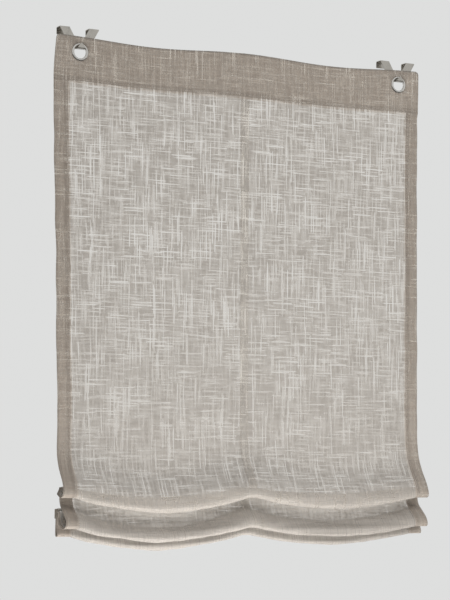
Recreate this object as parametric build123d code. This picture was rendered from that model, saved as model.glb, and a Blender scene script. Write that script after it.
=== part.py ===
"""Roman blind without a cord in view: one slubbed linen-look cloth that hangs on a window
sash by two steel hooks through metal eyelets, with its lower part gathered in soft pleats
on three tapes sewn to its back.

Frame: X runs along the blind, the room is on the -Y side, +Z is up. The origin is midway
between the two hooks, on the sash's top edge (Z = 0) at its front face (Y = 0).
All sizes are in millimetres.
"""

from build123d import *
from math import cos, hypot, pi, radians, sin, sqrt, tan
import os
import random

os.makedirs("parts", exist_ok=True)

# Cloth
cloth_width = 800.0
cloth_length = 1200.0          # finished length along the cloth, pleats let out
cloth_thickness = 0.6          # one layer of the slubbed weave
hem_layers = 2                 # the edges are turned once and stitched down
side_hem_width = 28.0
header_height = 90.0
top_sag = 7.5                  # how far the top edge dips between its held points

# Eyelets: a flanged barrel from the front, curled over a washer at the back
eyelet_inset = 45.0            # hole centre from the side edge
eyelet_drop = 31.0             # hole centre below the top edge
eyelet_bore = 24.0
eyelet_sheet = 0.5
flange_width = 5.0
flange_height = 1.8
curl_width = 1.6
washer_thickness = 0.6
eyelet_clearance = 0.1         # round the barrel, in the cloth and in the washer
washer_edge = 0.24             # radius on the washer's outer edge

# Window hooks: one stamped V each, its two ends bent over the sash
hook_sheet = 1.2
hook_spread = 80.0             # over both arms at the sash's top edge
hook_drop = 46.8               # eyelet's centre below the sash's top edge
arm_width = 20.0
arm_lean = 30.0                # degrees from upright
sash_grip = 17.0               # thickness of the sash lip that the hook reaches over
hook_lip = 12.0                # how far the rear lip reaches down
hook_bend = 1.0                # inner radius of every bend
tongue_root_width = 20.0
tongue_tip_width = 16.0
tongue_tip_height = 11.0
tongue_reach = 12.0            # how far the tip stands out of the sash's front face
shoulder_rise = 5.0            # from the tongue's root to the plate's rounded shoulders
shoulder_radius = 4.0
crotch_radius = 3.0
tip_radius = 0.8
hook_clearance = 0.2           # between the hook and the eyelet

# Gathering tapes, their loops and rings
tape_width = 18.0
tape_thickness = 0.4
tape_inset = 14.0              # middle of an outer tape from the side edge
tape_below_header = 2.0
tape_clearance = 0.05          # between the tape and the cloth it is stitched to
ring_diameter = 13.0
ring_wire = 1.4
ring_pitch = 150.0             # between the rings on the flat cloth
first_ring_below = 20.0        # the top ring, below the tape's upper end
ring_below_crest = 4.0
ring_clearance = 0.1
loop_wall = 0.3
loop_width = 2.4

# Slub threads: thicker yarn that stands proud of the flat cloth, lengthwise and across
slub_count = 60                # of each
slub_width = 1.4
slub_height = 0.25
slub_lengths = (25.0, 130.0)
slub_margin = 12.0
slub_seed = 11

# Pleats, as drops below the top edge where a tape holds them
fold_start = 740.0             # the cloth is flat down to here
fold_lead = 12.0               # and leaves the flat gently over this much
fold_drops = (879.0, 937.0, 952.0)        # lowest line of each pleat
fold_reaches = (45.0, 40.0, 14.5)         # how far each stands out of the flat cloth
tuck_drop = 891.0              # the second pleat comes out from under the first here
crest_drops = (905.0, 900.0)   # where the last two pleats are held up behind
crest_depths = (5.0, 11.5, 2.0)           # forward of the flat cloth, first to last
bend_radii = (8.0, 5.5, 5.0)   # outer radius at the bottom of each pleat
crest_radius = 2.0
end_flap = 16.0                # the cloth's end hangs behind the last pleat
first_swell = ((0.13, 82.0), (0.45, 54.0), (0.82, 29.0))  # share of reach, height over its bottom
first_return = (0.45, 6.0)     # and the same for its back
crest_approach = 0.55          # share of the way down from the first crest
first_crest_gap = 7.0          # between the cloth that goes up to the first crest and the tape
tuck_rise = 9.0
tuck_turn = (2.5, 2.0)         # forward and down, where the cloth turns out into the second pleat
second_swell = ((0.5, 0.3), (0.88, 0.62))  # share of reach, share of the way down
second_return = (0.4, 0.6)
second_hang = (10.0, 0.5, 5.0) # below the second crest, then forward and below the middle
third_return = 12.0            # height over the last pleat's bottom
fold_turns = (110.0, 150.0)    # degrees that a pleat's bottom turns through, the last one more
span_sags = (28.0, 21.0)       # how much lower the first pleat hangs midway, left and right
tuck_sag_share = 1.32          # the same for the tuck, as a share of the first pleat's
lower_sag_shares = (0.90, 0.94)           # and for the two lower pleats
crest_sag_shares = (1.2, 1.25)            # and for their crests
reach_shares = (0.84, 0.76, 1.0)          # reach midway between tapes, as a share
span_sharpness = 0.85          # below 1 the cloth turns down faster beside a tape
cut_margin = 20.0              # how far a cutting shape reaches past the cloth
stations_per_span = 9
points_per_spline = 6

# Worked out from the sizes above
hem_thickness = cloth_thickness * hem_layers
front_y = -(hook_sheet + hook_clearance + eyelet_sheet + washer_thickness + hem_thickness)
back_y = front_y + hem_thickness
barrel_radius = eyelet_bore / 2 + eyelet_sheet
hole_radius = barrel_radius + eyelet_clearance
flange_radius = eyelet_bore / 2 + flange_width
eyelet_x = cloth_width / 2 - eyelet_inset
top_z = eyelet_drop - hook_drop
hem_inner = cloth_width / 2 - side_hem_width
tape_x = cloth_width / 2 - tape_inset
tape_places = {"left": -tape_x, "centre": 0.0, "right": tape_x}
sides = {"left": -1, "right": 1}


def mix(a, b, start, end, t):
    """The point between a and b that t marks between start and end."""
    share = (t - start) / (end - start)
    return (a[0] + (b[0] - a[0]) * share, a[1] + (b[1] - a[1]) * share)


def smooth(points, steps=3):
    """A centripetal Catmull-Rom line through the points of a side view."""
    before = mix(points[0], points[1], 0, 1, -1)
    after = mix(points[-1], points[-2], 0, 1, -1)
    run = [before, *points, after]
    line = [points[0]]
    for p0, p1, p2, p3 in zip(run, run[1:], run[2:], run[3:]):
        t0 = 0.0
        t1 = t0 + sqrt(hypot(p1[0] - p0[0], p1[1] - p0[1]))
        t2 = t1 + sqrt(hypot(p2[0] - p1[0], p2[1] - p1[1]))
        t3 = t2 + sqrt(hypot(p3[0] - p2[0], p3[1] - p2[1]))
        for k in range(1, steps + 1):
            t = t1 + (t2 - t1) * k / steps
            a = mix(p0, p1, t0, t1, t)
            b = mix(p1, p2, t1, t2, t)
            c = mix(p2, p3, t2, t3, t)
            line.append(mix(mix(a, b, t0, t2, t), mix(b, c, t1, t3, t), t1, t2, t))
    return line


def arc(centre, radius, start, end, count):
    """Points on an arc of a side view; 0 degrees is forward and 90 is down."""
    turns = [radians(start + (end - start) * k / (count - 1)) for k in range(count)]
    return [(centre[0] + radius * cos(a), centre[1] + radius * sin(a)) for a in turns]


def mix_drop(upper, lower, share):
    return upper + (lower - upper) * share


def length_of(line):
    return sum(hypot(b[0] - a[0], b[1] - a[1]) for a, b in zip(line, line[1:]))


def offset(line, distance):
    """The line moved to the cloth's back by a distance."""
    moved = []
    for here, a, b in zip(line, [line[0], *line], [*line[1:], line[-1]]):
        run = hypot(b[0] - a[0], b[1] - a[1])
        moved.append((here[0] - distance * (b[1] - a[1]) / run,
                      here[1] + distance * (b[0] - a[0]) / run))
    return moved


def sag_at(x):
    """How far the cloth hangs down between two tapes, 0 at a tape, and that span's sag."""
    inner = tape_width / 2
    outer = hem_inner
    share = min(max((abs(x) - inner) / (outer - inner), 0.0), 1.0)
    return sin(pi * share) ** span_sharpness, span_sags[0 if x < 0 else 1]


def pleat_points(x, first_crest):
    """The side view's main points at x: (forward of the flat cloth, drop below the top)."""
    sag, depth = sag_at(x)
    drop_1 = fold_drops[0] + sag * depth
    tuck = tuck_drop + sag * depth * tuck_sag_share
    drop_2, drop_3 = [d + sag * depth * s for d, s in zip(fold_drops[1:], lower_sag_shares)]
    crest_2, crest_3 = [d + sag * depth * s for d, s in zip(crest_drops, crest_sag_shares)]
    reach_1, reach_2, reach_3 = [
        r * (1 - sag * (1 - s)) for r, s in zip(fold_reaches, reach_shares)
    ]
    bend_1, bend_2, bend_3 = bend_radii
    first, second, third = crest_depths
    hang_drop, hang_out, hang_below = second_hang

    def bottom(reach, drop, bend, turn):
        return arc((reach - bend, drop - bend), bend, 0, turn, 4)

    def crest(depth, drop):
        over = arc((depth, drop + crest_radius), crest_radius, 0, -180, 5)
        return [*over, (depth - crest_radius, drop + 2 * crest_radius)]

    return [
        (0, fold_start),
        (0, fold_start + fold_lead),
        *[(share * reach_1, drop_1 - rise) for share, rise in first_swell],
        *bottom(reach_1, drop_1, bend_1, fold_turns[0]),
        (first_return[0] * reach_1, drop_1 - first_return[1]),
        (first + first_crest_gap, mix_drop(first_crest, drop_1, crest_approach)),
        *crest(first, first_crest),
        (first - crest_radius, (first_crest + tuck) / 2),
        (first - crest_radius, tuck - tuck_rise),
        (first + tuck_turn[0], tuck + tuck_turn[1]),
        *[(share * reach_2, mix_drop(tuck, drop_2, way)) for share, way in second_swell],
        *bottom(reach_2, drop_2, bend_2, fold_turns[0]),
        (second_return[0] * reach_2, mix_drop(crest_2, drop_2, second_return[1])),
        *crest(second, crest_2),
        (second - crest_radius, crest_2 + hang_drop),
        (second - crest_radius + hang_out, (crest_2 + drop_3) / 2 + hang_below),
        *bottom(reach_3, drop_3, bend_3, fold_turns[1]),
        (third + crest_radius, drop_3 - third_return),
        (third + crest_radius, (crest_3 + drop_3) / 2),
        *crest(third, crest_3),
        (third - crest_radius, crest_3 + crest_radius + end_flap),
    ]


def first_crest(x):
    """The drop of the first crest that leaves the cloth its one length at x."""
    low, high = fold_start + 40, fold_drops[0] + max(span_sags)
    for _ in range(24):
        middle = (low + high) / 2
        if fold_start + length_of(smooth(pleat_points(x, middle))) > cloth_length:
            low = middle
        else:
            high = middle
    return middle


def side_view(x):
    """The cloth's front face below its flat part, in side view."""
    return smooth(pleat_points(x, first_crest(x)))


def place(x, point):
    """A side view's point, set in space at x."""
    return Vector(x, front_y - point[0], top_z - point[1])


def smooth_run(points):
    """One line through closely spaced points, made of short splines end to end."""
    starts = range(0, len(points) - 1, points_per_spline)
    return [Spline(points[k:k + points_per_spline + 1]) for k in starts]


def strip_face(x, line, inner, outer):
    """The face at x between two lines that lie inner and outer behind the cloth's front."""
    near = [place(x, p) for p in offset(line, inner)]
    far = [place(x, p) for p in offset(line, outer)][::-1]
    ends = [Line(near[-1], far[0]), Line(far[-1], near[0])]
    return make_face([*smooth_run(near), *smooth_run(far), *ends])


def upright_slab(x_from, x_to, y_from, y_to, z_from, z_to):
    slab = Box(x_to - x_from, y_to - y_from, z_to - z_from)
    return Pos((x_from + x_to) / 2, (y_from + y_to) / 2, (z_from + z_to) / 2) * slab


def flat_cloth():
    """The flat part above the pleats: one layer, with the header and side hems behind it."""
    half = cloth_width / 2
    low = top_z - fold_start
    slab = upright_slab(-half, half, front_y, front_y + cloth_thickness, low, top_z)
    header = upright_slab(-half, half, front_y, back_y, top_z - header_height, top_z)
    cloth = slab + header
    for side in sides.values():
        ends = sorted((side * hem_inner, side * half))
        cloth += upright_slab(*ends, front_y, back_y, low, top_z)
    held = [-half, 0.0, half]
    tops = [Vector(x, 0, top_z) for x in held]
    dips = [Vector((a + b) / 2, 0, top_z - top_sag) for a, b in zip(held, held[1:])]
    edge = Spline([tops[0], dips[0], tops[1], dips[1], tops[2]])
    clear = top_z + cut_margin
    over = Polyline([tops[2], Vector(half, 0, clear), Vector(-half, 0, clear), tops[0]])
    above = extrude(make_face([edge, *over.edges()]), cut_margin, both=True)
    return cloth - above


def slub_threads():
    """Thick places in the yarn, proud of the flat single layer, one group of bars."""
    chance = random.Random(slub_seed)
    left = -hem_inner + slub_margin
    right = hem_inner - slub_margin
    high = top_z - header_height - slub_margin
    low = top_z - fold_start + slub_margin
    bars = []
    for k in range(2 * slub_count):
        long = chance.uniform(*slub_lengths)
        lengthwise = k % 2 == 0
        width, height = (slub_width, long) if lengthwise else (long, slub_width)
        x = chance.uniform(left + width / 2, right - width / 2)
        z = chance.uniform(low + height / 2, high - height / 2)
        bars.append(upright_slab(x - width / 2, x + width / 2, front_y - slub_height,
                                 front_y + cloth_thickness / 2, z - height / 2,
                                 z + height / 2))
    return bars


def pleated_cloth():
    """The gathered part: one layer between the hems, two layers in the hems."""
    middle = [-hem_inner + (hem_inner - tape_width / 2) * k / stations_per_span
              for k in range(stations_per_span + 1)]
    stations = middle + [-x for x in reversed(middle)]
    sections = [strip_face(x, side_view(x), 0, cloth_thickness) for x in stations]
    pleats = loft(sections, ruled=True)
    for side in sides.values():
        face = strip_face(side * hem_inner, side_view(side * hem_inner), 0, hem_thickness)
        pleats += extrude(face, side_hem_width, dir=(side, 0, 0))
    return pleats


def blind_cloth():
    cloth = flat_cloth() + slub_threads()
    cloth += pleated_cloth()
    for side in sides.values():
        hole = Pos(side * eyelet_x, front_y, -hook_drop) * Rot(90, 0, 0)
        cloth -= hole * Cylinder(hole_radius, cut_margin)
    return cloth


def eyelet(side):
    """A flanged barrel: a domed rim in front, a barrel through the cloth, a curl behind."""
    bore = eyelet_bore / 2
    rim = (bore + flange_radius) / 2
    cloth_back = hem_thickness
    curl_front = cloth_back + washer_thickness
    curl_back = curl_front + eyelet_sheet
    outline = [
        EllipticalCenterArc((rim, 0), flange_width / 2, flange_height, 180, arc_size=180),
        Line((flange_radius, 0), (flange_radius - eyelet_sheet, 0)),
        EllipticalCenterArc((rim, 0), flange_width / 2 - eyelet_sheet,
                            flange_height - eyelet_sheet, 180, arc_size=180),
        Polyline((barrel_radius, 0), (barrel_radius, curl_front),
                 (bore + curl_width, curl_front), (bore + curl_width, curl_back),
                 (bore, curl_back), (bore, 0)),
    ]
    section = make_face([e for piece in outline for e in piece.edges()])
    turned = revolve(section, Axis.Y, 360)
    return Pos(side * eyelet_x, front_y, -hook_drop) * turned


def washer(side):
    """The ring behind the cloth that the eyelet's barrel is curled over."""
    ring = Cylinder(flange_radius, washer_thickness) - Cylinder(hole_radius, washer_thickness)
    ring = fillet(ring.edges().sort_by(Axis.Z)[-1], washer_edge)
    middle = back_y + washer_thickness / 2
    return Pos(side * eyelet_x, middle, -hook_drop) * Rot(-90, 0, 0) * ring


def bent_sheet(x, width, inner_start, outer_start, heading, runs):
    """Sheet metal seen from the side: a quarter bend before each straight run."""
    edges, tips = [], []
    for at, radius in ((inner_start, hook_bend), (outer_start, hook_bend + hook_sheet)):
        way = heading
        for run in runs:
            bend = JernArc(at, way, radius, -90)
            edges.append(bend)
            at, way = bend @ 1, bend % 1
            if run > 0:
                edges.append(PolarLine(at, run, direction=way))
                at = edges[-1] @ 1
        tips.append(at)
    edges += [Line(inner_start, outer_start), Line(*tips)]
    face = Plane.YZ.offset(x) * make_face(edges)
    return extrude(face, width / 2, dir=(1, 0, 0), both=True)


def window_hook(side):
    """A stamped V whose arm ends reach over the sash and whose foot is the eyelet's hook."""
    x = side * eyelet_x
    half_spread = hook_spread / 2
    arm_top = -hook_bend
    seat = -hook_drop + sqrt((eyelet_bore / 2) ** 2 - (tongue_root_width / 2) ** 2)
    tongue_top = seat - hook_clearance
    root = tongue_top + hook_bend
    shoulder = root + shoulder_rise
    narrowing = tan(radians(arm_lean))
    foot = half_spread - (arm_top - shoulder) * narrowing
    notch = arm_top - (half_spread - arm_width) / narrowing
    outline = Polyline(
        (half_spread, arm_top), (foot, shoulder), (tongue_root_width / 2, root),
        (-tongue_root_width / 2, root), (-foot, shoulder), (-half_spread, arm_top),
        (arm_width - half_spread, arm_top), (0, notch), (half_spread - arm_width, arm_top),
        close=True,
    )
    stamped = make_face(outline)
    corners = [v for v in stamped.vertices() if abs(v.Y - shoulder) < 0.01]
    stamped = fillet(corners, shoulder_radius)
    crotch = [v for v in stamped.vertices() if abs(v.X) < 0.01]
    stamped = fillet(crotch, crotch_radius)
    hook = Pos(x, 0, 0) * Rot(90, 0, 0) * extrude(stamped, hook_sheet)
    for arm in sides.values():
        middle = x + arm * (half_spread - arm_width / 2)
        over_sash = (sash_grip - 2 * hook_bend, hook_lip - hook_bend)
        hook += bent_sheet(middle, arm_width, (0, arm_top), (-hook_sheet, arm_top), (0, 1),
                           over_sash)
    tip_back = hook_sheet - tongue_reach
    through_eyelet = (tongue_reach - 2 * hook_sheet - 2 * hook_bend, 0)
    tongue = bent_sheet(x, tongue_root_width, (-hook_sheet, root), (0, root), (0, -1),
                        through_eyelet)
    taper = make_face(Polyline(
        (x - tongue_root_width / 2, 0), (x + tongue_root_width / 2, 0),
        (x + tongue_tip_width / 2, tip_back), (x + tongue_tip_width / 2, -tongue_reach),
        (x - tongue_tip_width / 2, -tongue_reach), (x - tongue_tip_width / 2, tip_back),
        close=True))
    tongue = tongue & extrude(taper, 2 * hook_drop, both=True)
    tip = make_face(Polyline(
        (-tongue_tip_width / 2, root), (tongue_tip_width / 2, root),
        (0, tongue_top + tongue_tip_height), close=True))
    tip = fillet(tip.vertices().sort_by(Axis.Y)[-1], tip_radius)
    tip = Pos(x, tip_back, 0) * Rot(90, 0, 0) * extrude(tip, hook_sheet)
    return hook + tongue + tip


def ring_places(x):
    """Where a tape's rings hang: (forward of the flat cloth, drop of the wire's top)."""
    first_drop = header_height + tape_below_header + first_ring_below
    count = int((fold_start - ring_diameter - first_drop) // ring_pitch) + 1
    flat = [(0, first_drop + k * ring_pitch) for k in range(count)]
    crests = zip(crest_depths, (first_crest(x), *crest_drops))
    return flat + [(depth - crest_radius, drop + ring_below_crest) for depth, drop in crests]


def tape_depths(name):
    """How far a tape's two faces lie behind the cloth's front face."""
    layers = cloth_thickness if name == "centre" else hem_thickness
    return layers + tape_clearance, layers + tape_clearance + tape_thickness


def gather_tape(name):
    """A woven tape sewn to the cloth's back, with a small loop for each of its rings."""
    x = tape_places[name]
    near, far = tape_depths(name)
    half = tape_width / 2
    tape = upright_slab(x - half, x + half, front_y + near, front_y + far, top_z - fold_start,
                        top_z - header_height - tape_below_header)
    pleats = strip_face(x - half, side_view(x), near, far)
    tape += extrude(pleats, tape_width, dir=(1, 0, 0))
    seat = ring_wire / 2 + ring_clearance
    for depth, drop in ring_places(x):
        tape += Pos(x, front_y + far - depth + seat, top_z - drop) * ring_loop(seat)
    return tape


def ring_loop(seat):
    """A bridge of woven yarn round a ring's wire, its feet sunk into the tape."""
    hollow = ring_wire / 2 + 2 * ring_clearance
    shell = hollow + loop_wall
    feet = seat + tape_thickness / 2
    down = (Align.CENTER, Align.MAX)
    bridge = Rectangle(2 * shell, feet, align=down) + Circle(shell)
    bridge -= Rectangle(2 * hollow, 2 * feet, align=down) + Circle(hollow)
    bridge -= Pos(0, -feet) * Rectangle(4 * shell, 2 * shell, align=down)
    return Rot(0, 90, 0) * extrude(bridge, loop_width / 2, both=True)


def gather_ring(name, place_of_wire):
    """One clear ring that hangs flat behind the tape from its loop."""
    depth, drop = place_of_wire
    x = tape_places[name]
    wire = ring_wire / 2
    radius = ring_diameter / 2 - wire
    y = front_y - depth + tape_depths(name)[1] + ring_clearance + wire
    return Pos(x, y, top_z - drop - radius) * Rot(90, 0, 0) * Torus(radius, wire)


def build():
    pieces = {"blind_cloth": blind_cloth()}
    for side, sign in sides.items():
        pieces[f"eyelet_{side}"] = eyelet(sign)
        pieces[f"eyelet_washer_{side}"] = washer(sign)
        pieces[f"window_hook_{side}"] = window_hook(sign)
    for name, x in tape_places.items():
        pieces[f"gather_tape_{name}"] = gather_tape(name)
        for k, where in enumerate(ring_places(x), start=1):
            pieces[f"ring_{name}_{k}"] = gather_ring(name, where)
    return pieces


for node, shape in build().items():
    export_step(shape, f"parts/{node}.step")
    print(node, len(shape.solids()), "solid", round(shape.volume, 1), "mm3")
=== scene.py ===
# %% [markdown]
# # A sheer roman blind on two steel hooks
# One slubbed cloth hangs by two eyelets from two steel hooks, and its lower part is gathered in
# three pleats on the tapes at its back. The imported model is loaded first. It says where every
# piece goes, so nothing here is fitted by eye: the cloth, the metal, the tapes and the rings are
# made again with more detail in the places that the model's nodes hold.

from math import cos, hypot, pi, radians, sin, sqrt

import bmesh
import bpy
from mathutils import Matrix, Vector, noise


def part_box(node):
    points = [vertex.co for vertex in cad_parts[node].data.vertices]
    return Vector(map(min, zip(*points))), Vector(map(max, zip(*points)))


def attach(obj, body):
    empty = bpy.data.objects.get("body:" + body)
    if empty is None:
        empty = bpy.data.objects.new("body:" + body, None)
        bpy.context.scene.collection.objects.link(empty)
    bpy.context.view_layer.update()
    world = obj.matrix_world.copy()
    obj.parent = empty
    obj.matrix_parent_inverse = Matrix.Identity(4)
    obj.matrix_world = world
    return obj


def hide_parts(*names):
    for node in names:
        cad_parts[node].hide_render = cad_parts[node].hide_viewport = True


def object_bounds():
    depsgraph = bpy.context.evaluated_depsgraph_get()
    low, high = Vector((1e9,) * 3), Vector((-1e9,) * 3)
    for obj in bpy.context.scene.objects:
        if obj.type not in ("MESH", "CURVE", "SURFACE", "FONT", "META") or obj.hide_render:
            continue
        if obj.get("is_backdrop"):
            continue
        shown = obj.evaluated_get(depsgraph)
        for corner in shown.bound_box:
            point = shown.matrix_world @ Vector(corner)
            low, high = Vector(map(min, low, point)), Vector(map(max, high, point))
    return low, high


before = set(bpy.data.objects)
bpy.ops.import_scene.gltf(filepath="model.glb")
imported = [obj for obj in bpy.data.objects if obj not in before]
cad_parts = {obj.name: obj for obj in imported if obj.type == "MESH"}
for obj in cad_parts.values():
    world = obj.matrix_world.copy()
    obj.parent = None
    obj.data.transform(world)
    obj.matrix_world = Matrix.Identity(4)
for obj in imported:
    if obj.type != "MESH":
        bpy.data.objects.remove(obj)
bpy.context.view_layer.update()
MM = 0.001

# %% [markdown]
# ## Camera
# The blind is seen from its left, from the height of its pleats, through a long lens. The lens's
# shift takes up part of the height and a slight upward turn takes up the rest, so upright edges
# stay all but parallel and the shift stays small in every other view.

# %% Camera
EYE = Vector((-1.906, -3.672, -0.854))
YAW, PITCH, ROLL = 26.93, 2.85, 0.226
camera_data = bpy.data.cameras.new("camera")
camera_data.lens = 126.18
camera_data.sensor_width = 36
camera_data.shift_y = 0.12
camera = bpy.data.objects.new("camera", camera_data)
camera.location = EYE
turn = Matrix.Rotation(radians(-YAW), 3, "Z") @ Matrix.Rotation(radians(90 + PITCH), 3, "X")
camera.rotation_euler = (turn @ Matrix.Rotation(radians(ROLL), 3, "Z")).to_euler()
bpy.context.scene.collection.objects.link(camera)
bpy.context.scene.camera = camera
print("camera", tuple(round(v, 3) for v in EYE), "lens", camera_data.lens)

# %% [markdown]
# ## Helpers for pieces and materials
# Every new piece is a mesh made in bmesh, linked once, with the body it moves with and the node
# that it stands for. A material is a small graph of nodes, so one helper adds a node with its
# values and links, and the others make the few steps that every material here is put together from.

# %% Helpers for pieces
def piece_from(bm, name, material, stands_for=()):
    """A finished piece: its mesh, its material, its body and the nodes that it replaces."""
    mesh = bpy.data.meshes.new(name)
    bm.to_mesh(mesh)
    bm.free()
    mesh.materials.append(material)
    piece = bpy.data.objects.new(name, mesh)
    bpy.context.scene.collection.objects.link(piece)
    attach(piece, "root")
    if stands_for:
        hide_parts(*stands_for)
    print(name, len(mesh.polygons), "faces")
    return piece


def smooth_faces(bm):
    for face in bm.faces:
        face.smooth = True


# %% Helpers for materials
def new_material(name):
    material = bpy.data.materials.new(name)
    material.use_nodes = True
    material.node_tree.nodes.clear()
    return material, material.node_tree


def feed(tree, socket, value):
    """Sets a socket to a value, or links it where the value is another node's socket."""
    if isinstance(value, bpy.types.NodeSocket):
        tree.links.new(value, socket)
    else:
        socket.default_value = value


def add(tree, kind, settings=None, **values):
    """A shader node. The values go to its sockets by name, with _ for a space."""
    node = tree.nodes.new("ShaderNode" + kind)
    for key, value in (settings or {}).items():
        setattr(node, key, value)
    for key, value in values.items():
        feed(tree, node.inputs[key.replace("_", " ")], value)
    return node


def maths(tree, operation, a, b=0.0, c=0.0, clamp=False):
    node = add(tree, "Math", {"operation": operation, "use_clamp": clamp})
    for socket, value in zip(node.inputs, (a, b, c)):
        feed(tree, socket, value)
    return node.outputs[0]


def between(tree, value, low, high, to_low=0.0, to_high=1.0):
    """A value spread from one range to another and kept inside it."""
    node = add(tree, "MapRange", {"interpolation_type": "SMOOTHSTEP"}, Value=value,
               From_Min=low, From_Max=high, To_Min=to_low, To_Max=to_high)
    return node.outputs["Result"]


def grain(tree, coordinate, size, detail=1.0, offset=0.0):
    """Noise whose cells have the given size in metres along each axis."""
    mapping = add(tree, "Mapping", Vector=coordinate, Scale=[1 / s for s in size],
                  Location=(offset, offset, offset))
    texture = add(tree, "TexNoise", Vector=mapping.outputs[0], Scale=1.0, Detail=detail)
    return texture.outputs["Fac"]


def blend_colour(tree, share, a, b):
    """Colour a where the share is 0, colour b where it is 1."""
    node = add(tree, "Mix", {"data_type": "RGBA"})
    for key, value in (("Factor", share), ("A", a), ("B", b)):
        socket = next(s for s in node.inputs if s.name == key and s.enabled)
        feed(tree, socket, (*value, 1.0) if isinstance(value, tuple) else value)
    return next(s for s in node.outputs if s.enabled)


def mix_shaders(tree, share, a, b):
    node = add(tree, "MixShader")
    for socket, value in zip(node.inputs, (share, a, b)):
        feed(tree, socket, value)
    return node.outputs[0]


def finish_material(tree, shader):
    tree.links.new(shader, add(tree, "OutputMaterial").inputs["Surface"])


# %% [markdown]
# ## How the cloth falls
# Seen from its end, a pleat is a loop: the front swells out, turns under at its lowest line, and
# goes back up behind to where a ring holds it. Between two rings nothing holds it, so every line
# hangs lower there. The same side view serves the cloth, its hems, the tapes and the stitches.
# All of these sizes are in millimetres, measured forward of the flat cloth and down from its top.

# %% The cloth's sizes
width, length = 800.0, 1200.0
layer = 0.6
hem, header = 28.0, 90.0
top_sag = 7.5
front_y, top_z = -3.7, -15.8
hole_x, hole_drop, hole_radius = 355.0, 31.0, 14.2
tape_width, tape_inset = 18.0, 14.0
tape_x = width / 2 - tape_inset
tapes = {"left": -tape_x, "centre": 0.0, "right": tape_x}
hem_inner = width / 2 - hem

fold_start, fold_lead = 740.0, 12.0
fold_drops = (879.0, 937.0, 952.0)
fold_reaches = (45.0, 40.0, 14.5)
tuck_drop = 891.0
crest_drops = (905.0, 900.0)
crest_depths = (5.0, 11.5, 2.0)
bend_radii = (8.0, 5.5, 5.0)
crest_radius = 2.0
end_flap = 16.0

# Between the tapes the folds sag, more on the left, and each line by its own share of the sag.
# There the folds also reach less far forward. The first one swells out in three steps, each a
# share of its reach and a height above its lowest line.
span_sags, sag_roundness = (28.0, 21.0), 0.85
fold_sags, crest_sags, tuck_sag = (1.0, 0.90, 0.94), (1.2, 1.25), 1.32
span_reaches = (0.84, 0.76, 1.0)
swells = ((0.13, 82), (0.45, 54), (0.82, 29))


# %% The side view of the pleats
def mix(a, b, start, end, t):
    share = (t - start) / (end - start)
    return (a[0] + (b[0] - a[0]) * share, a[1] + (b[1] - a[1]) * share)


def smooth(points, steps=3):
    """A centripetal Catmull-Rom line through the points."""
    run = [mix(points[0], points[1], 0, 1, -1), *points, mix(points[-1], points[-2], 0, 1, -1)]
    line = [points[0]]
    for p0, p1, p2, p3 in zip(run, run[1:], run[2:], run[3:]):
        t1 = sqrt(hypot(p1[0] - p0[0], p1[1] - p0[1]))
        t2 = t1 + sqrt(hypot(p2[0] - p1[0], p2[1] - p1[1]))
        t3 = t2 + sqrt(hypot(p3[0] - p2[0], p3[1] - p2[1]))
        for k in range(1, steps + 1):
            t = t1 + (t2 - t1) * k / steps
            a, b, c = mix(p0, p1, 0, t1, t), mix(p1, p2, t1, t2, t), mix(p2, p3, t2, t3, t)
            line.append(mix(mix(a, b, 0, t2, t), mix(b, c, t1, t3, t), t1, t2, t))
    return line


def arc(centre, radius, start, end, count):
    turns = [radians(start + (end - start) * k / (count - 1)) for k in range(count)]
    return [(centre[0] + radius * cos(a), centre[1] + radius * sin(a)) for a in turns]


def sag_at(x):
    inner = tape_width / 2
    share = min(max((abs(x) - inner) / (hem_inner - inner), 0.0), 1.0)
    return sin(pi * share) ** sag_roundness, span_sags[0 if x < 0 else 1]


def pleat_points(x, first_crest):
    sag, depth = sag_at(x)
    drop_1, drop_2, drop_3 = [d + sag * depth * s for d, s in zip(fold_drops, fold_sags)]
    tuck = tuck_drop + sag * depth * tuck_sag
    crest_2, crest_3 = [d + sag * depth * s for d, s in zip(crest_drops, crest_sags)]
    reach_1, reach_2, reach_3 = [
        r * (1 - sag * (1 - s)) for r, s in zip(fold_reaches, span_reaches)
    ]
    bend_1, bend_2, bend_3 = bend_radii
    first, second, third = crest_depths

    def down(upper, lower, share):
        return upper + (lower - upper) * share

    def bottom(reach, drop, bend, turn):
        return arc((reach - bend, drop - bend), bend, 0, turn, 4)

    def crest(depth, drop):
        over = arc((depth, drop + crest_radius), crest_radius, 0, -180, 5)
        return [*over, (depth - crest_radius, drop + 2 * crest_radius)]

    return [
        # the flat cloth swells out to the first fold and turns under it
        (0, fold_start), (0, fold_start + fold_lead),
        *[(share * reach_1, drop_1 - above) for share, above in swells],
        *bottom(reach_1, drop_1, bend_1, 110),
        # back up behind to the first crest, and down again to the tuck
        (0.45 * reach_1, drop_1 - 6), (first + 7, down(first_crest, drop_1, 0.55)),
        *crest(first, first_crest),
        (first - crest_radius, (first_crest + tuck) / 2), (first - crest_radius, tuck - 9),
        (first + 2.5, tuck + 2),
        # out to the second fold, and up behind it to the second crest
        (0.5 * reach_2, down(tuck, drop_2, 0.3)), (0.88 * reach_2, down(tuck, drop_2, 0.62)),
        *bottom(reach_2, drop_2, bend_2, 110),
        (0.4 * reach_2, down(crest_2, drop_2, 0.6)),
        *crest(second, crest_2),
        # the last fold hangs lowest, and its end turns over the third crest
        (second - crest_radius, crest_2 + 10),
        (second - crest_radius + 0.5, (crest_2 + drop_3) / 2 + 5),
        *bottom(reach_3, drop_3, bend_3, 150),
        (third + crest_radius, drop_3 - 12), (third + crest_radius, (crest_3 + drop_3) / 2),
        *crest(third, crest_3),
        (third - crest_radius, crest_3 + crest_radius + end_flap),
    ]


def length_of(line):
    return sum(hypot(b[0] - a[0], b[1] - a[1]) for a, b in zip(line, line[1:]))


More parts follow.
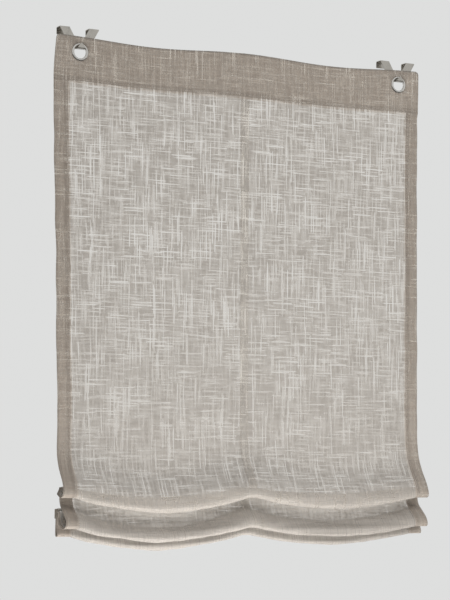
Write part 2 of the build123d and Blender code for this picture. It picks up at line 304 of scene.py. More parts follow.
def side_view(x):
    """The whole pleated run at x. Its first crest takes up what the cloth's one length leaves."""
    low, high = fold_start + 40, fold_drops[0] + max(span_sags)
    for halving in range(18):
        middle = (low + high) / 2
        line = smooth(pleat_points(x, middle))
        if fold_start + length_of(line) > length:
            low = middle
        else:
            high = middle
    return line


flat_steps = 120
flat_rows = [fold_start * k / flat_steps for k in range(flat_steps + 1)]


def run_at(x):
    """The cloth at x from its top: a list of (forward, drop, length from the top)."""
    rows = [(0.0, s, s) for s in flat_rows]
    s = fold_start
    line = side_view(x)
    for before, here in zip(line, line[1:]):
        s += hypot(here[0] - before[0], here[1] - before[1])
        rows.append((here[0], here[1], s))
    return rows


print("rows down the cloth", len(run_at(0.0)))

# %% [markdown]
# ## Soft unevenness
# No hung cloth is a plane. It stays flat where the header, the eyelets, the hems and the tapes
# hold it. Between them it ripples by a millimetre or two, and in the pleats small creases run
# along the folds. Smooth noise does this: its cells are long down the curtain and flat in a crease.

# %% Ripples
broad_ripple, fine_ripple, crease_ripple = 2.4, 0.88, 2.4
held_beside = 60.0


def ease(value, low, high):
    """Rises from 0 to 1 between low and high, with no corner at either end."""
    share = min(max((value - low) / (high - low), 0.0), 1.0)
    return share * share * (3 - 2 * share)


def ripple(x, s):
    """How far the cloth stands forward of its even form, in millimetres."""
    free = min(ease(abs(x - place), tape_width / 2, held_beside) for place in tapes.values())
    hang = ease(s, header * 0.6, header + 160)
    gathered = ease(s, fold_start + 60, fold_start + 130)
    broad = noise.noise(Vector((x / 95, s / 260, 0.3))) * broad_ripple
    fine = noise.noise(Vector((x / 17, s / 150, 7.7))) * fine_ripple
    crease = noise.noise(Vector((x / 130, s / 9, 2.2))) * crease_ripple
    return free * (hang * broad + gathered * (fine + crease))


# %% Side edges
# How far out each side edge starts, and its steps down the cloth: millimetres outwards, and the
# lengths from the top between which the step is made. Behind the first fold the left edge is
# drawn in, so its crest doesn't stand out beside the hem in front of it.
edge_steps = {
    -1: (3.5, ((5.0, 0, 70), (-8.5, 110, 520), (-4.0, 520, 720), (4.0, 740, 830),
               (3.0, 870, 895), (-3.0, 910, 935), (-8.0, 910, 940), (8.0, 1010, 1045))),
    1: (4.0, ((-1.0, 0, 80), (-2.2, header, header + 5), (-0.8, 100, 300))),
}
corner_radii = {-1: 5.0, 1: 8.0}
edge_waver = 1.4


def edge_place(x, s):
    """The cloth's corners are rounded, and its side edges bow and waver by some millimetres."""
    side = 1 if x > 0 else -1
    corner = corner_radii[side]
    past_x, past_s = abs(x) - (width / 2 - corner), corner - s
    if past_x > 0 and past_s > 0:
        share = max(past_x, past_s) / hypot(past_x, past_s)
        x, s = side * (width / 2 - corner + past_x * share), corner - past_s * share
    start, steps = edge_steps[side]
    out = noise.noise(Vector((s / 55, side * 3.0, 1.1))) * edge_waver + start
    out += sum(step * ease(s, low, high) for step, low, high in steps)
    return x + side * out * ease(abs(x), hem_inner - 60, width / 2), s


# %% Points of the cloth
# The top edge dips between the middle and the eyelets, and the dip fades out down to this length.
top_dip_end = 140.0


def cloth_place(x, row, before, after, behind):
    """A point of the cloth in space: its row's side view, moved behind its front face."""
    p, drop, s = row
    run = hypot(after[0] - before[0], after[1] - before[1]) or 1.0
    away = (after[0] - before[0]) / run, (after[1] - before[1]) / run
    forward = ripple(x, s) - behind
    p, drop = p + forward * away[1], drop - forward * away[0]
    dip = sin(2 * pi * min(abs(x) / width, 0.5)) ** 2 * top_sag
    drop += dip * max(0.0, 1 - s / top_dip_end)
    across, eased = edge_place(x, s)
    return Vector((across, front_y - p, top_z - drop - (eased - s))) * MM


def column_at(x, behind=0.0):
    """Every point down the cloth at x, with its length from the top."""
    rows = run_at(x)
    befores, afters = [rows[0], *rows[:-1]], [*rows[1:], rows[-1]]
    return [(cloth_place(x, row, a, b, behind), row[2])
            for row, a, b in zip(rows, befores, afters)]


print("ripple at the middle of a span", round(ripple(180, 500), 2), "mm")

# %% [markdown]
# ## The cloth
# The real cloth is cut wider and longer than it hangs: each side is turned back by 28 mm and the
# top by 90 mm, and stitched. So the grid has columns past both side edges and rows past the top
# edge, and those are laid behind the front. Each point keeps its place in the flat cloth as its
# UV, in metres, so the yarns turn the hems and run through the pleats as woven ones do.

# %% The grid of the cloth
# Each column has its x and how far behind the front it lies, as a share of lap.
lap = layer * 1.05
hem_steps, front_columns, side_bend = 5, 152, 0.2
left_turn = [(-hem_inner - hem * k / hem_steps, 1.0) for k in range(hem_steps)]
left_turn.append((-width / 2, 0.5))
front_part = [(-width / 2 + side_bend + (width - 2 * side_bend) * k / front_columns, 0.0)
              for k in range(front_columns + 1)]
right_turn = [(-x, share) for x, share in reversed(left_turn)]
columns = left_turn + front_part + right_turn
turned = len(left_turn)
facing_rows = [k for k, s in enumerate(flat_rows) if 0 < s <= header][::-1]
print("columns", len(columns), "facing rows", len(facing_rows))

# %% [markdown]
# One more number goes with each point: what kind of cloth it is. The material reads it as an
# attribute. It makes a hem dense, and the strip where its raw edge is turned in holds a third layer
# and gets painted shade. It makes the hidden cloth behind the first fold more open, because its
# layers would look too dark else.

# %% Marks on the cloth
single_mark, hem_mark, turned_in_mark, return_mark, low_fold_mark = 0.0, 1.0, 2.0, -1.0, -2.0
header_turn_in, hem_turn_in = 11, 7
return_row, low_fold_row = 22, 43


def mark_at(x, s, row):
    """The kind of cloth at a point. Both rows are counted from the end of the flat part."""
    if s <= header:
        return turned_in_mark if s > header - header_turn_in else hem_mark
    if abs(x) >= hem_inner - 0.1:
        return turned_in_mark if abs(x) < hem_inner + hem_turn_in else hem_mark
    past = row - len(flat_rows)
    if past < return_row:
        return single_mark
    return return_mark if past < low_fold_row else low_fold_mark


# %% Make the cloth
def make_cloth():
    """A flat grid whose points are moved to their places in the hung cloth."""
    bm = bmesh.new()
    rows_down = len(run_at(0.0))
    total_rows = len(facing_rows) + rows_down
    bmesh.ops.create_grid(bm, x_segments=len(columns) - 1, y_segments=total_rows - 1, size=1)
    bm.verts.ensure_lookup_table()
    uv = bm.loops.layers.uv.new("cloth")
    kind = bm.verts.layers.float.new("kind")
    spots, kinds = {}, {}
    for i, (x, back) in enumerate(columns):
        front = column_at(x, back * lap)
        behind = column_at(x, lap)
        u = x if back < 1 else (width - abs(x)) * (1 if x > 0 else -1)
        for j in range(total_rows):
            if j < len(facing_rows):
                point, s = behind[facing_rows[j]]
                v = -s
            else:
                point, s = front[j - len(facing_rows)]
                v = s
            spots[i, j] = (point, u * MM, -v * MM)
            kinds[i, j] = mark_at(x, s, j - len(facing_rows))
    last_column, last_row = len(columns) - 1, total_rows - 1
    where = {}
    for vert in bm.verts:
        i = round((vert.co.x + 1) / 2 * last_column)
        j = round((1 - vert.co.y) / 2 * last_row)
        where[vert] = i, j
    for vert, key in where.items():
        vert.co = spots[key][0]
        vert[kind] = kinds[key]
    for face in bm.faces:
        for loop in face.loops:
            loop[uv].uv = spots[where[loop.vert]][1:]
    header_end = len(facing_rows) + sum(1 for s in flat_rows if s <= header) - 1
    corner = [f for f in bm.faces
              if all(where[v][1] <= header_end for v in f.verts)
              and (all(where[v][0] < turned for v in f.verts)
                   or all(where[v][0] > last_column - turned for v in f.verts))]
    bmesh.ops.delete(bm, geom=corner, context="FACES")
    cut_eyelet_holes(bm)
    smooth_faces(bm)
    return bm


def seen_from(middle, vert):
    """How far a point lies across and down from a hole's middle, seen from the front."""
    return Vector((vert.co.x, 0, vert.co.z)) - middle


def cut_eyelet_holes(bm):
    """Opens the cloth round each eyelet and draws the opening's ragged edge to a circle."""
    for side in (-1, 1):
        middle = Vector((side * hole_x, 0, top_z - hole_drop)) * MM
        inside = [v for v in bm.verts
                  if seen_from(middle, v).length < (hole_radius - 0.8) * MM]
        bmesh.ops.delete(bm, geom=inside, context="VERTS")
        for vert in bm.verts:
            flat = seen_from(middle, vert)
            if vert.is_boundary and flat.length < 2 * hole_radius * MM:
                round_edge = middle + flat.normalized() * hole_radius * MM
                vert.co.x, vert.co.z = round_edge.x, round_edge.z


# %% [markdown]
# ## The weave
# The yarns are taupe and the cloth is open between them, so a single layer shows the light behind
# it and a double one hardly does. Thick and thin places in the yarn, the slubs, run as pale
# streaks of a few centimetres both up the cloth and across it. A picture of such fine yarns would
# have to be huge, so the yarns are counted from the flat coordinates, and white noise picks the
# runs that are slubs.

# %% Slubs
# Places on the flat cloth, in metres up from its top edge, between which the look changes: where
# slubs get rarer on the way down, where the painted shade on the low part of the panel begins, and
# where the painted light on the folds does.
rarer_slubs, painted_shade_low_panel, painted_light_folds = (-0.78, -0.38), (-0.80, -0.50), (-0.90, -0.84)


def bell(tree, value, low, high):
    """0 at both ends of each whole step of a value, and 1 round its middle."""
    part = maths(tree, "FRACT", value)
    hump = maths(tree, "MULTIPLY", part, maths(tree, "SUBTRACT", 1.0, part))
    return between(tree, hump, low, high)


def slubs(tree, across, along, pitch, run, share, seed):
    """The slubs of one direction: yarns a pitch apart, cut into runs, a share of them slubs."""
    yarn = maths(tree, "DIVIDE", across, pitch)
    number = maths(tree, "ADD", maths(tree, "FLOOR", yarn), seed)
    start = add(tree, "TexWhiteNoise", {"noise_dimensions": "1D"}, W=number).outputs["Value"]
    way = maths(tree, "MULTIPLY_ADD", along, 1 / run, maths(tree, "MULTIPLY", start, 37.0))
    cell = add(tree, "CombineXYZ", X=number, Y=maths(tree, "FLOOR", way))
    chance = add(tree, "TexWhiteNoise", {"noise_dimensions": "2D"}, Vector=cell.outputs[0])
    chosen = between(tree, chance.outputs["Value"], 1 - share, 1 - share * 0.45)
    shape = maths(tree, "MULTIPLY", bell(tree, way, 0.0, 0.10), bell(tree, yarn, 0.04, 0.21))
    return maths(tree, "MULTIPLY", shape, chosen)


def slub_pattern(tree, flat, place, height, low_folds):
    """Strong and slim slubs both ways, with fewer of them in patches, low down and in folds."""
    yarns = add(tree, "SeparateXYZ", Vector=place)
    x, y = yarns.outputs["X"], yarns.outputs["Y"]
    long_up = slubs(tree, x, y, pitch=0.0027, run=0.065, share=0.20, seed=100)
    short_up = slubs(tree, x, y, pitch=0.0019, run=0.038, share=0.38, seed=200)
    long_along = slubs(tree, y, x, pitch=0.0025, run=0.048, share=0.13, seed=300)
    short_along = slubs(tree, y, x, pitch=0.0019, run=0.030, share=0.28, seed=400)
    strong = maths(tree, "MAXIMUM", long_up, long_along)
    slim = maths(tree, "MULTIPLY", maths(tree, "MAXIMUM", short_up, short_along), 0.62)
    patches = grain(tree, flat, (0.045, 0.06, 1), 1.0, 12.0)
    crowd = between(tree, patches, 0.35, 0.65, 0.6, 1.0)
    crowd = maths(tree, "MULTIPLY", crowd, maths(tree, "MULTIPLY_ADD", low_folds, -0.4, 1.0))
    crowd = maths(tree, "MULTIPLY", crowd, between(tree, height, *rarer_slubs, 0.74, 1.0))
    return maths(tree, "MULTIPLY", maths(tree, "MAXIMUM", strong, slim), crowd)


# %% Yarns
def woven_place(tree, flat):
    """The flat cloth's coordinates, moved so that every yarn wanders a little."""
    shift = add(tree, "CombineXYZ", X=grain(tree, flat, (0.03, 0.09, 1), 1.0),
                Y=grain(tree, flat, (0.09, 0.03, 1), 1.0, 40.0))
    wander = add(tree, "VectorMath", {"operation": "MULTIPLY_ADD"})
    for socket, value in zip(wander.inputs, (shift.outputs[0], (0.004, 0.004, 0), flat)):
        feed(tree, socket, value)
    return wander.outputs[0]


def uneven_yarns(tree, place):
    """Two patterns: single yarns, thick and thin, and broad streaks of many yarns together."""
    yarn_up = grain(tree, place, (0.0011, 0.050, 1), 2.0, 11.0)
    yarn_along = grain(tree, place, (0.050, 0.0011, 1), 2.0, 17.0)
    streak_up = grain(tree, place, (0.0032, 0.070, 1), 1.0, 23.0)
    streak_along = grain(tree, place, (0.050, 0.0030, 1), 1.0, 29.0)
    return maths(tree, "ADD", yarn_up, yarn_along), maths(tree, "MAXIMUM", streak_up, streak_along)


# %% [markdown]
# Two things make the look: the yarns' own colour, and how much of the light passes straight
# through. Low on the curtain painted shade makes the cloth a little darker and less open, and
# painted light makes the folds a little paler. A slub is paler and much more open. On the hems and
# the header, where two layers lie together, the colour is warmer and the slubs stand out more by
# colour than by light.

# %% Colour and openness of the cloth
single_dark, single_light = (0.35, 0.322, 0.292), (0.50, 0.468, 0.432)
double_dark, double_light = (0.32, 0.272, 0.230), (0.54, 0.475, 0.410)
turned_in_shade_colour, slub_colour = (0.16, 0.13, 0.11), (0.72, 0.68, 0.62)
single_glow, double_glow = (0.60, 0.56, 0.51), (0.46, 0.42, 0.37)
slub_openness, return_openness, double_openness = 0.92, 0.35, 0.80


def cloth_colour(tree, uneven, streak, slub, doubled, turned_in, height):
    fine = between(tree, uneven, 0.75, 1.25, 0.0, 0.35)
    light_yarn = maths(tree, "MULTIPLY_ADD", between(tree, streak, 0.45, 0.72), 0.65, fine)
    single = blend_colour(tree, light_yarn, single_dark, single_light)
    double = blend_colour(tree, light_yarn, double_dark, double_light)
    # Painted shade and light: by its height on the flat cloth, the low part of the panel is
    # darkened and the folds are lightened.
    painted_shade_and_light = maths(tree, "MULTIPLY", between(tree, height, *painted_shade_low_panel, 0.90, 1.0),
                  between(tree, height, *painted_light_folds, 1.20, 1.0))
    single = add(tree, "VectorMath", {"operation": "SCALE"}, Vector=single, Scale=painted_shade_and_light)
    colour = blend_colour(tree, doubled, single.outputs[0], double)
    # Painted shade: the turned-in strip holds a third layer, and a dark band is painted along it.
    colour = blend_colour(tree, maths(tree, "MULTIPLY", turned_in, 0.28), colour,
                          turned_in_shade_colour)
    pale = maths(tree, "MULTIPLY", slub, maths(tree, "MULTIPLY_ADD", doubled, 0.35, 0.35))
    return blend_colour(tree, pale, colour, slub_colour)


def cloth_openness(tree, streak, slub, doubled, hidden_return, height):
    """The share of the light that passes straight through each of the cloth's two faces."""
    openness = between(tree, streak, 0.46, 0.73, 0.16, 0.56)
    # Painted shade: low on the panel less light passes straight through, so the cloth there looks
    # darker.
    openness = maths(tree, "MULTIPLY", openness, between(tree, height, *painted_shade_low_panel, 0.80, 1.0))
    openness = maths(tree, "MULTIPLY_ADD", hidden_return, return_openness, openness)
    to_slub = maths(tree, "SUBTRACT", slub_openness, openness)
    openness = maths(tree, "MULTIPLY_ADD", to_slub, slub, openness)
    return maths(tree, "MULTIPLY", openness, between(tree, doubled, 0, 1, 1.0, double_openness))


# %% Cloth material
def cloth_material():
    material, tree = new_material("slubbed_sheer")
    flat = add(tree, "UVMap", {"uv_map": "cloth"}).outputs[0]
    height = add(tree, "SeparateXYZ", Vector=flat).outputs["Y"]
    kind = add(tree, "Attribute", {"attribute_name": "kind"}).outputs["Fac"]
    doubled = maths(tree, "MINIMUM", kind, 1.0, clamp=True)
    turned_in = between(tree, kind, 1.2, 1.8)
    behind = maths(tree, "MULTIPLY", kind, -1.0)
    low_folds = between(tree, behind, 1.2, 2.0)
    hidden_return = maths(tree, "SUBTRACT", between(tree, behind, 0.2, 1.0), low_folds)

    place = woven_place(tree, flat)
    slub = slub_pattern(tree, flat, place, height, low_folds)
    uneven, streak = uneven_yarns(tree, place)
    colour = cloth_colour(tree, uneven, streak, slub, doubled, turned_in, height)
    openness = cloth_openness(tree, streak, slub, doubled, hidden_return, height)
    glow = blend_colour(tree, doubled, single_glow, double_glow)

    bump = add(tree, "Bump", Strength=0.35, Distance=0.0004, Height=uneven).outputs[0]
    surface = add(tree, "BsdfPrincipled", Base_Color=colour, Roughness=0.88, Normal=bump,
                  Sheen_Weight=0.15, Sheen_Roughness=0.5, Specular_IOR_Level=0.2)
    through = add(tree, "BsdfTranslucent", Color=glow, Normal=bump)
    clear = add(tree, "BsdfTransparent", Color=(0.995, 0.985, 0.970, 1))
    body = mix_shaders(tree, 0.30, surface.outputs[0], through.outputs[0])
    finish_material(tree, mix_shaders(tree, openness, body, clear.outputs[0]))
    return material


# %% Hang the cloth
def give_thickness(piece, thickness):
    """Makes a real sheet of a surface, backwards from its front face."""
    solidify = piece.modifiers.new("thickness", "SOLIDIFY")
    solidify.thickness = thickness
    solidify.offset = -1


# The model's layer leaves room for the yarns' fluff, and the woven sheet itself is thinner.
woven_share = 0.6
cloth = piece_from(make_cloth(), "cloth", cloth_material(), ["blind_cloth"])
give_thickness(cloth, layer * MM * woven_share)

# %% [markdown]
# ## Metal
# The eyelets are nickel-plated and polished. The hooks are stamped from bright sheet: their flat
# faces keep the sheet's fine rolling lines, and the bends catch the light. One function makes both
# materials, each with its own colour, roughness and size of line.

# %% Metal materials
def metal_material(name, colour, roughness, line_size):
    material, tree = new_material(name)
    place = add(tree, "TexCoord").outputs["Object"]
    lines = grain(tree, place, line_size, 3.0)
    stains = grain(tree, place, (0.012, 0.012, 0.012), 2.0, 3.0)
    rough = maths(tree, "ADD", between(tree, lines, 0.3, 0.7, 0.0, 0.08),
                  between(tree, stains, 0.35, 0.75, roughness, roughness + 0.10))
    tint = blend_colour(tree, between(tree, stains, 0.4, 0.8), colour,
                        tuple(c * 0.86 for c in colour))
    bump = add(tree, "Bump", Strength=0.12, Distance=0.00005, Height=lines)
    metal = add(tree, "BsdfPrincipled", Base_Color=tint, Metallic=1.0, Roughness=rough,
                Normal=bump.outputs[0])
    finish_material(tree, metal.outputs[0])
    return material


nickel = metal_material("polished_nickel", (0.66, 0.64, 0.61), 0.09, (0.0008, 0.0008, 0.0008))
steel = metal_material("bright_sheet_steel", (0.50, 0.475, 0.435), 0.18, (0.0004, 0.004, 0.02))

# %% [markdown]
# ## Eyelets
# An eyelet is drawn from sheet: a domed rim in front, a barrel through the cloth, and a curl over
# a washer behind. All of it is round, so its outline is spun about the hole's axis.

# %% Spin an outline
def spun(outline, middle, steps=64):
    """An outline of (radius, behind) points in millimetres, spun about the hole's axis."""
    bm = bmesh.new()
    verts = [bm.verts.new((middle[0] + r * MM, (front_y + y) * MM, middle[1]))
             for r, y in outline]
    edges = [bm.edges.new(pair) for pair in zip(verts, verts[1:] + verts[:1])]
    bmesh.ops.spin(bm, geom=[*verts, *edges], cent=(middle[0], 0, middle[1]), axis=(0, 1, 0),
                   angle=2 * pi, steps=steps, use_merge=True)
    bmesh.ops.remove_doubles(bm, verts=bm.verts, dist=1e-7)
    bmesh.ops.recalc_face_normals(bm, faces=bm.faces)
    smooth_faces(bm)
    return bm


def half_ring(centre, across_radius, high, count=9):
    """A half ellipse of (radius, behind) points that stands forward of the cloth."""
    return [(centre + across_radius * cos(a), -high * sin(a))
            for a in (pi * k / (count - 1) for k in range(count))]


# %% Eyelets and washers
bore, rim, sheet, rim_height = 12.0, 5.0, 0.5, 1.8
dome = half_ring(bore + rim / 2, rim / 2, rim_height)
inside_dome = half_ring(bore + rim / 2, rim / 2 - sheet, rim_height - sheet)[::-1]
barrel_and_curl = [(12.0, 1.0), (12.05, 2.0), (12.35, 2.26), (13.6, 2.3), (13.6, 1.8), (12.5, 1.8)]
eyelet_outline = [*dome, *barrel_and_curl, *inside_dome]
washer_outline = [(12.6, 1.2), (16.7, 1.2), (17.0, 1.35), (17.0, 1.6), (16.75, 1.8), (12.6, 1.8)]
for side, sign in (("left", -1), ("right", 1)):
    middle = (sign * hole_x * MM, (top_z - hole_drop) * MM)
    piece_from(spun(eyelet_outline, middle), f"eyelet_rim_{side}", nickel,
               [f"eyelet_{side}"])
    piece_from(spun(washer_outline, middle), f"washer_{side}", nickel,
               [f"eyelet_washer_{side}"])


# %% [markdown]
# ## Hooks
# The hooks' form is the model's own. Stamped and bent sheet never has a knife edge, so a merged
# copy of the node gets a small bevel that catches a line of light.

# %% Hooks with softened edges
def softened(node, name, material, radius):
    """The node's own shape as a new piece, with its sharp edges bevelled."""
    bm = bmesh.new()
    bm.from_mesh(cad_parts[node].data)
    bmesh.ops.remove_doubles(bm, verts=bm.verts, dist=1e-6)
    bmesh.ops.dissolve_limit(bm, angle_limit=radians(1), verts=bm.verts, edges=bm.edges)
    sharp = [e for e in bm.edges if len(e.link_faces) == 2 and e.calc_face_angle() > radians(40)]
    bmesh.ops.bevel(bm, geom=sharp, offset=radius, segments=2, profile=0.5, affect="EDGES",
                    material=-1, clamp_overlap=True)
    bmesh.ops.triangulate(bm, faces=[f for f in bm.faces if len(f.verts) > 4])
    piece_from(bm, name, material, [node])


for side in ("left", "right"):
    softened(f"window_hook_{side}", f"hook_{side}", steel, 0.15 * MM)

# %% [markdown]
# ## Tapes and rings
# Three sheer tapes are stitched to the back, each with a small loop for every ring. The tape is
# one ribbon that follows the cloth's own side view at its place, so it keeps to the cloth through
# every fold. The rings are clear plastic, and a spun circle makes each of them.

# %% Tape and ring materials
def tape_material():
    material, tree = new_material("woven_tape")
    flat = add(tree, "UVMap", {"uv_map": "cloth"}).outputs[0]
    rib = grain(tree, flat, (0.0009, 0.02, 1), 2.0)
    pick = grain(tree, flat, (0.02, 0.0009, 1), 2.0, 9.0)
    uneven = maths(tree, "ADD", rib, pick)
    colour = blend_colour(tree, between(tree, uneven, 0.7, 1.3), (0.80, 0.78, 0.74),
                          (0.92, 0.90, 0.87))
    bump = add(tree, "Bump", Strength=0.3, Distance=0.0003, Height=uneven)
    surface = add(tree, "BsdfPrincipled", Base_Color=colour, Roughness=0.8,
                  Normal=bump.outputs[0])
    through = add(tree, "BsdfTranslucent", Color=colour)
    clear = add(tree, "BsdfTransparent", Color=(1, 1, 1, 1))
    body = mix_shaders(tree, 0.65, surface.outputs[0], through.outputs[0])
    finish_material(tree, mix_shaders(tree, 0.45, body, clear.outputs[0]))
    return material


def plastic_material():
    material, tree = new_material("clear_ring_plastic")
    place = add(tree, "TexCoord").outputs["Object"]
    cloudy = grain(tree, place, (0.004, 0.004, 0.004), 2.0)
    plastic = add(tree, "BsdfPrincipled", Base_Color=(0.93, 0.95, 0.95, 1), IOR=1.49,
                  Roughness=between(tree, cloudy, 0.3, 0.7, 0.08, 0.25), Transmission_Weight=0.75)
    finish_material(tree, plastic.outputs[0])
    return material


woven = tape_material()
plastic = plastic_material()


# %% Tapes
tape_steps, tape_gap, tape_thickness = 6, 0.1, 0.35


def tape_ribbon(name):
    """A narrow grid behind one layer of cloth, or behind two on the hems."""
    behind = (layer if name == "centre" else 2 * layer) + tape_gap
    start = next(k for k, s in enumerate(flat_rows) if s > header + 2)
    xs = [tapes[name] - tape_width / 2 + tape_width * k / tape_steps
          for k in range(tape_steps + 1)]
    runs = [column_at(x, behind)[start:] for x in xs]
    last_row = len(runs[0]) - 1
    bm = bmesh.new()
    bmesh.ops.create_grid(bm, x_segments=tape_steps, y_segments=last_row, size=1)
    uv = bm.loops.layers.uv.new("cloth")
    where = {v: (round((v.co.x + 1) / 2 * tape_steps), round((1 - v.co.y) / 2 * last_row))
             for v in bm.verts}
    for vert, (i, j) in where.items():
        vert.co = runs[i][j][0]
    for face in bm.faces:
        for loop in face.loops:
            i, j = where[loop.vert]
            loop[uv].uv = (xs[i] * MM, -runs[i][j][1] * MM)
    smooth_faces(bm)
    return bm


for name in tapes:
    tape = piece_from(tape_ribbon(name), f"tape_{name}", woven, [f"gather_tape_{name}"])
    give_thickness(tape, tape_thickness * MM)


# %% Rings
def ring_round(node):
    """A ring as large as its node's box: a small circle spun round the ring's middle."""
    low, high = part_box(node)
    middle = (Vector(low) + Vector(high)) / 2
    wire = (high[1] - low[1]) / 2
    radius = (high[0] - low[0]) / 2 - wire
    bm = bmesh.new()
    turn = Matrix.Translation(middle + Vector((radius, 0, 0)))
    circle = bmesh.ops.create_circle(bm, segments=10, radius=wire, matrix=turn)
    bmesh.ops.spin(bm, geom=[*circle["verts"], *bm.edges], cent=middle, axis=(0, 1, 0),
                   angle=2 * pi, steps=28, use_merge=True)
    bmesh.ops.remove_doubles(bm, verts=bm.verts, dist=1e-7)
    bmesh.ops.recalc_face_normals(bm, faces=bm.faces)
    smooth_faces(bm)
    return bm


for node in sorted(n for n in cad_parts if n.startswith("ring_")):
    piece_from(ring_round(node), node.replace("ring_", "gather_ring_"), plastic,
               [node])

# %% [markdown]
# ## Loops and stitching
# Each ring sits in a small loop of yarn on its tape. The header and the side hems are sewn down
# with one row of straight stitches, and the middle tape with two, one along each edge. A stitch is
# a slim grain of thread, and a row of them follows the cloth, also round the pleats.

# %% Thread material
def thread_material():
    material, tree = new_material("sewing_thread")
    place = add(tree, "TexCoord").outputs["Object"]
    ply = grain(tree, place, (0.0003, 0.0003, 0.0003), 2.0)
    colour = blend_colour(tree, between(tree, ply, 0.3, 0.7), (0.40, 0.35, 0.30),
                          (0.58, 0.53, 0.47))
    bump = add(tree, "Bump", Strength=0.4, Distance=0.0001, Height=ply)
    yarn = add(tree, "BsdfPrincipled", Base_Color=colour, Roughness=0.7, Normal=bump.outputs[0])
    finish_material(tree, yarn.outputs[0])
    return material


thread = thread_material()


# %% Loops
def yarn_loop(bm, middle, radius, yarn):
    """A ring of yarn round a point, standing across the blind."""
    start = Matrix.Translation(middle + Vector((0, radius, 0)))
    circle = bmesh.ops.create_circle(bm, segments=6, radius=yarn, matrix=start)["verts"]
    edges = {e for v in circle for e in v.link_edges}
    bmesh.ops.spin(bm, geom=[*circle, *edges], cent=middle, axis=(1, 0, 0), angle=2 * pi,
                   steps=12, use_merge=True)


bm = bmesh.new()
for node in (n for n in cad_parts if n.startswith("ring_")):
    low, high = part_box(node)
    wire = (high[1] - low[1]) / 2
    top = Vector(((low[0] + high[0]) / 2, (low[1] + high[1]) / 2, high[2] - wire))
    yarn_loop(bm, top, wire + 0.3 * MM, 0.2 * MM)
bmesh.ops.remove_doubles(bm, verts=bm.verts, dist=1e-7)
bmesh.ops.recalc_face_normals(bm, faces=bm.faces)
smooth_faces(bm)
piece_from(bm, "ring_loops", thread)


# %% Stitches
def stitch_row(bm, line, spacing=4.4, long=2.9, thick=0.32):
    """Slim grains of thread, evenly spaced along a line of points."""
    gone, due = 0.0, spacing / 2
    for a, b in zip(line, line[1:]):
        run = (b - a).length / MM
        while run > 0 and due <= gone + run:
            middle = a.lerp(b, (due - gone) / run)
            turn = (b - a).to_track_quat("X", "Y").to_matrix().to_4x4()
            size = Matrix.Diagonal((long / 2 * MM, thick * MM, thick * MM, 1))
            bmesh.ops.create_icosphere(bm, subdivisions=1, radius=1.0,
                                       matrix=Matrix.Translation(middle) @ turn @ size)
            due += spacing
        gone += run


# How far stitches stand proud of the cloth, and where the header's row starts and ends.
proud, row_ends, row_steps = 0.15, 6.0, 120


def down_the_cloth(x, start):
    return [point for point, s in column_at(x, -proud) if s > start]


def along_the_header(s):
    xs = [-width / 2 + row_ends + (width - 2 * row_ends) * k / row_steps
          for k in range(row_steps + 1)]
    return [cloth_place(x, (0, s, s), (0, s - 1), (0, s + 1), -proud) for x in xs]


bm = bmesh.new()
header_row, hem_row, tape_row = header - 7, hem_inner + 3, tape_width / 2 - 1.5
stitch_row(bm, along_the_header(header_row))
for x in (-hem_row, hem_row, -tape_row, tape_row):
    stitch_row(bm, down_the_cloth(x, header + 2))
smooth_faces(bm)
piece_from(bm, "stitching", thread)

# %% [markdown]
# ## Floor and light
# A pale floor lies far below in a pale surround. The light is soft: one broad lamp in front, one
# behind, because a sheer cloth shows itself by the light that comes through it, and a small one
# below for the undersides of the folds. Polished metal shows what stands round it, and a pale
# surround alone would make it white, so the metal also sees one dark card.

# %% Floor and card
def plane(name, place, size, material):
    """A level rectangle for the setting, which is no part of the blind."""
    bm = bmesh.new()
    spread = Matrix.Diagonal((*size, 1, 1))
    bmesh.ops.create_grid(bm, x_segments=1, y_segments=1, size=0.5,
                          matrix=Matrix.Translation(place) @ spread)
    mesh = bpy.data.meshes.new(name)
    bm.to_mesh(mesh)
    bm.free()
    mesh.materials.append(material)
    piece = bpy.data.objects.new(name, mesh)
    bpy.context.scene.collection.objects.link(piece)
    return piece


def floor_material():
    material, tree = new_material("pale_floor")
    matt = add(tree, "BsdfPrincipled", Base_Color=(0.78, 0.78, 0.77, 1), Roughness=0.9)
    finish_material(tree, matt.outputs[0])
    return material


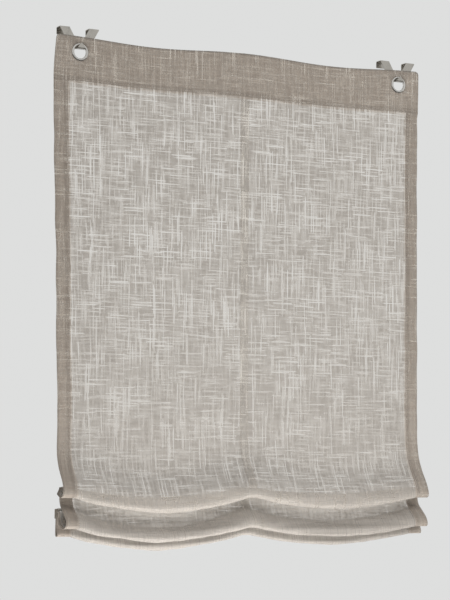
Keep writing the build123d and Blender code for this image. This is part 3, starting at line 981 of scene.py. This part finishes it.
def card_material():
    material, tree = new_material("dark_card")
    matt = add(tree, "BsdfDiffuse", Color=(0.05, 0.05, 0.05, 1))
    finish_material(tree, matt.outputs[0])
    return material


floor = plane("floor", (0, 0, -1.6), (12, 12), floor_material())
floor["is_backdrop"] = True

card = plane("card_below", (0, -3.6, -1.55), (10, 6.4), card_material())
card.visible_camera = card.visible_diffuse = False
card.visible_shadow = card.visible_transmission = False
card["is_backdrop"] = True


# %% Lamps
def lamp(name, place, aim, size, power):
    """A soft rectangle of light that no camera and no metal sees."""
    data = bpy.data.lights.new(name, "AREA")
    data.shape = "RECTANGLE"
    data.size, data.size_y = size
    data.energy = power
    light = bpy.data.objects.new(name, data)
    light.location = place
    light.rotation_euler = (Vector(aim) - Vector(place)).to_track_quat("-Z", "Y").to_euler()
    light.visible_camera = light.visible_glossy = False
    bpy.context.scene.collection.objects.link(light)


lamp("front", (1.2, -3.2, 1.8), (0, 0, -0.4), (2.0, 2.0), 94)
lamp("behind", (0.6, 2.4, 1.0), (0, 0, -0.4), (2.4, 2.4), 26)
lamp("below", (-0.1, -0.32, -1.32), (0, 0, -0.93), (1.0, 0.25), 7)

# %% [markdown]
# The surround lights the blind with one strength, and shows itself with another to the camera, in
# metal and through the open cloth. So its paleness and the light on the blind are set apart.

# %% Surround
world = bpy.data.worlds.new("surround")
world.use_nodes = True
tree = world.node_tree
tree.nodes.clear()
path = add(tree, "LightPath").outputs
seen = maths(tree, "MAXIMUM", path["Is Camera Ray"], path["Is Glossy Ray"])
seen = maths(tree, "MAXIMUM", seen, path["Is Transmission Ray"])
around = add(tree, "Background", Color=(0.86, 0.87, 0.88, 1), Strength=0.60)
pale = add(tree, "Background", Color=(0.73, 0.735, 0.73, 1), Strength=1.0)
either = mix_shaders(tree, seen, around.outputs[0], pale.outputs[0])
tree.links.new(either, add(tree, "OutputWorld").inputs["Surface"])
bpy.context.scene.world = world
bpy.context.scene.view_settings.view_transform = "Standard"

# %% [markdown]
# ## Size
# The box of all that is shown, apart from the floor and the card, is printed.

# %% Size of the dressed blind
low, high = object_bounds()
print("visual box", [round(v, 4) for v in (*low, *high)])
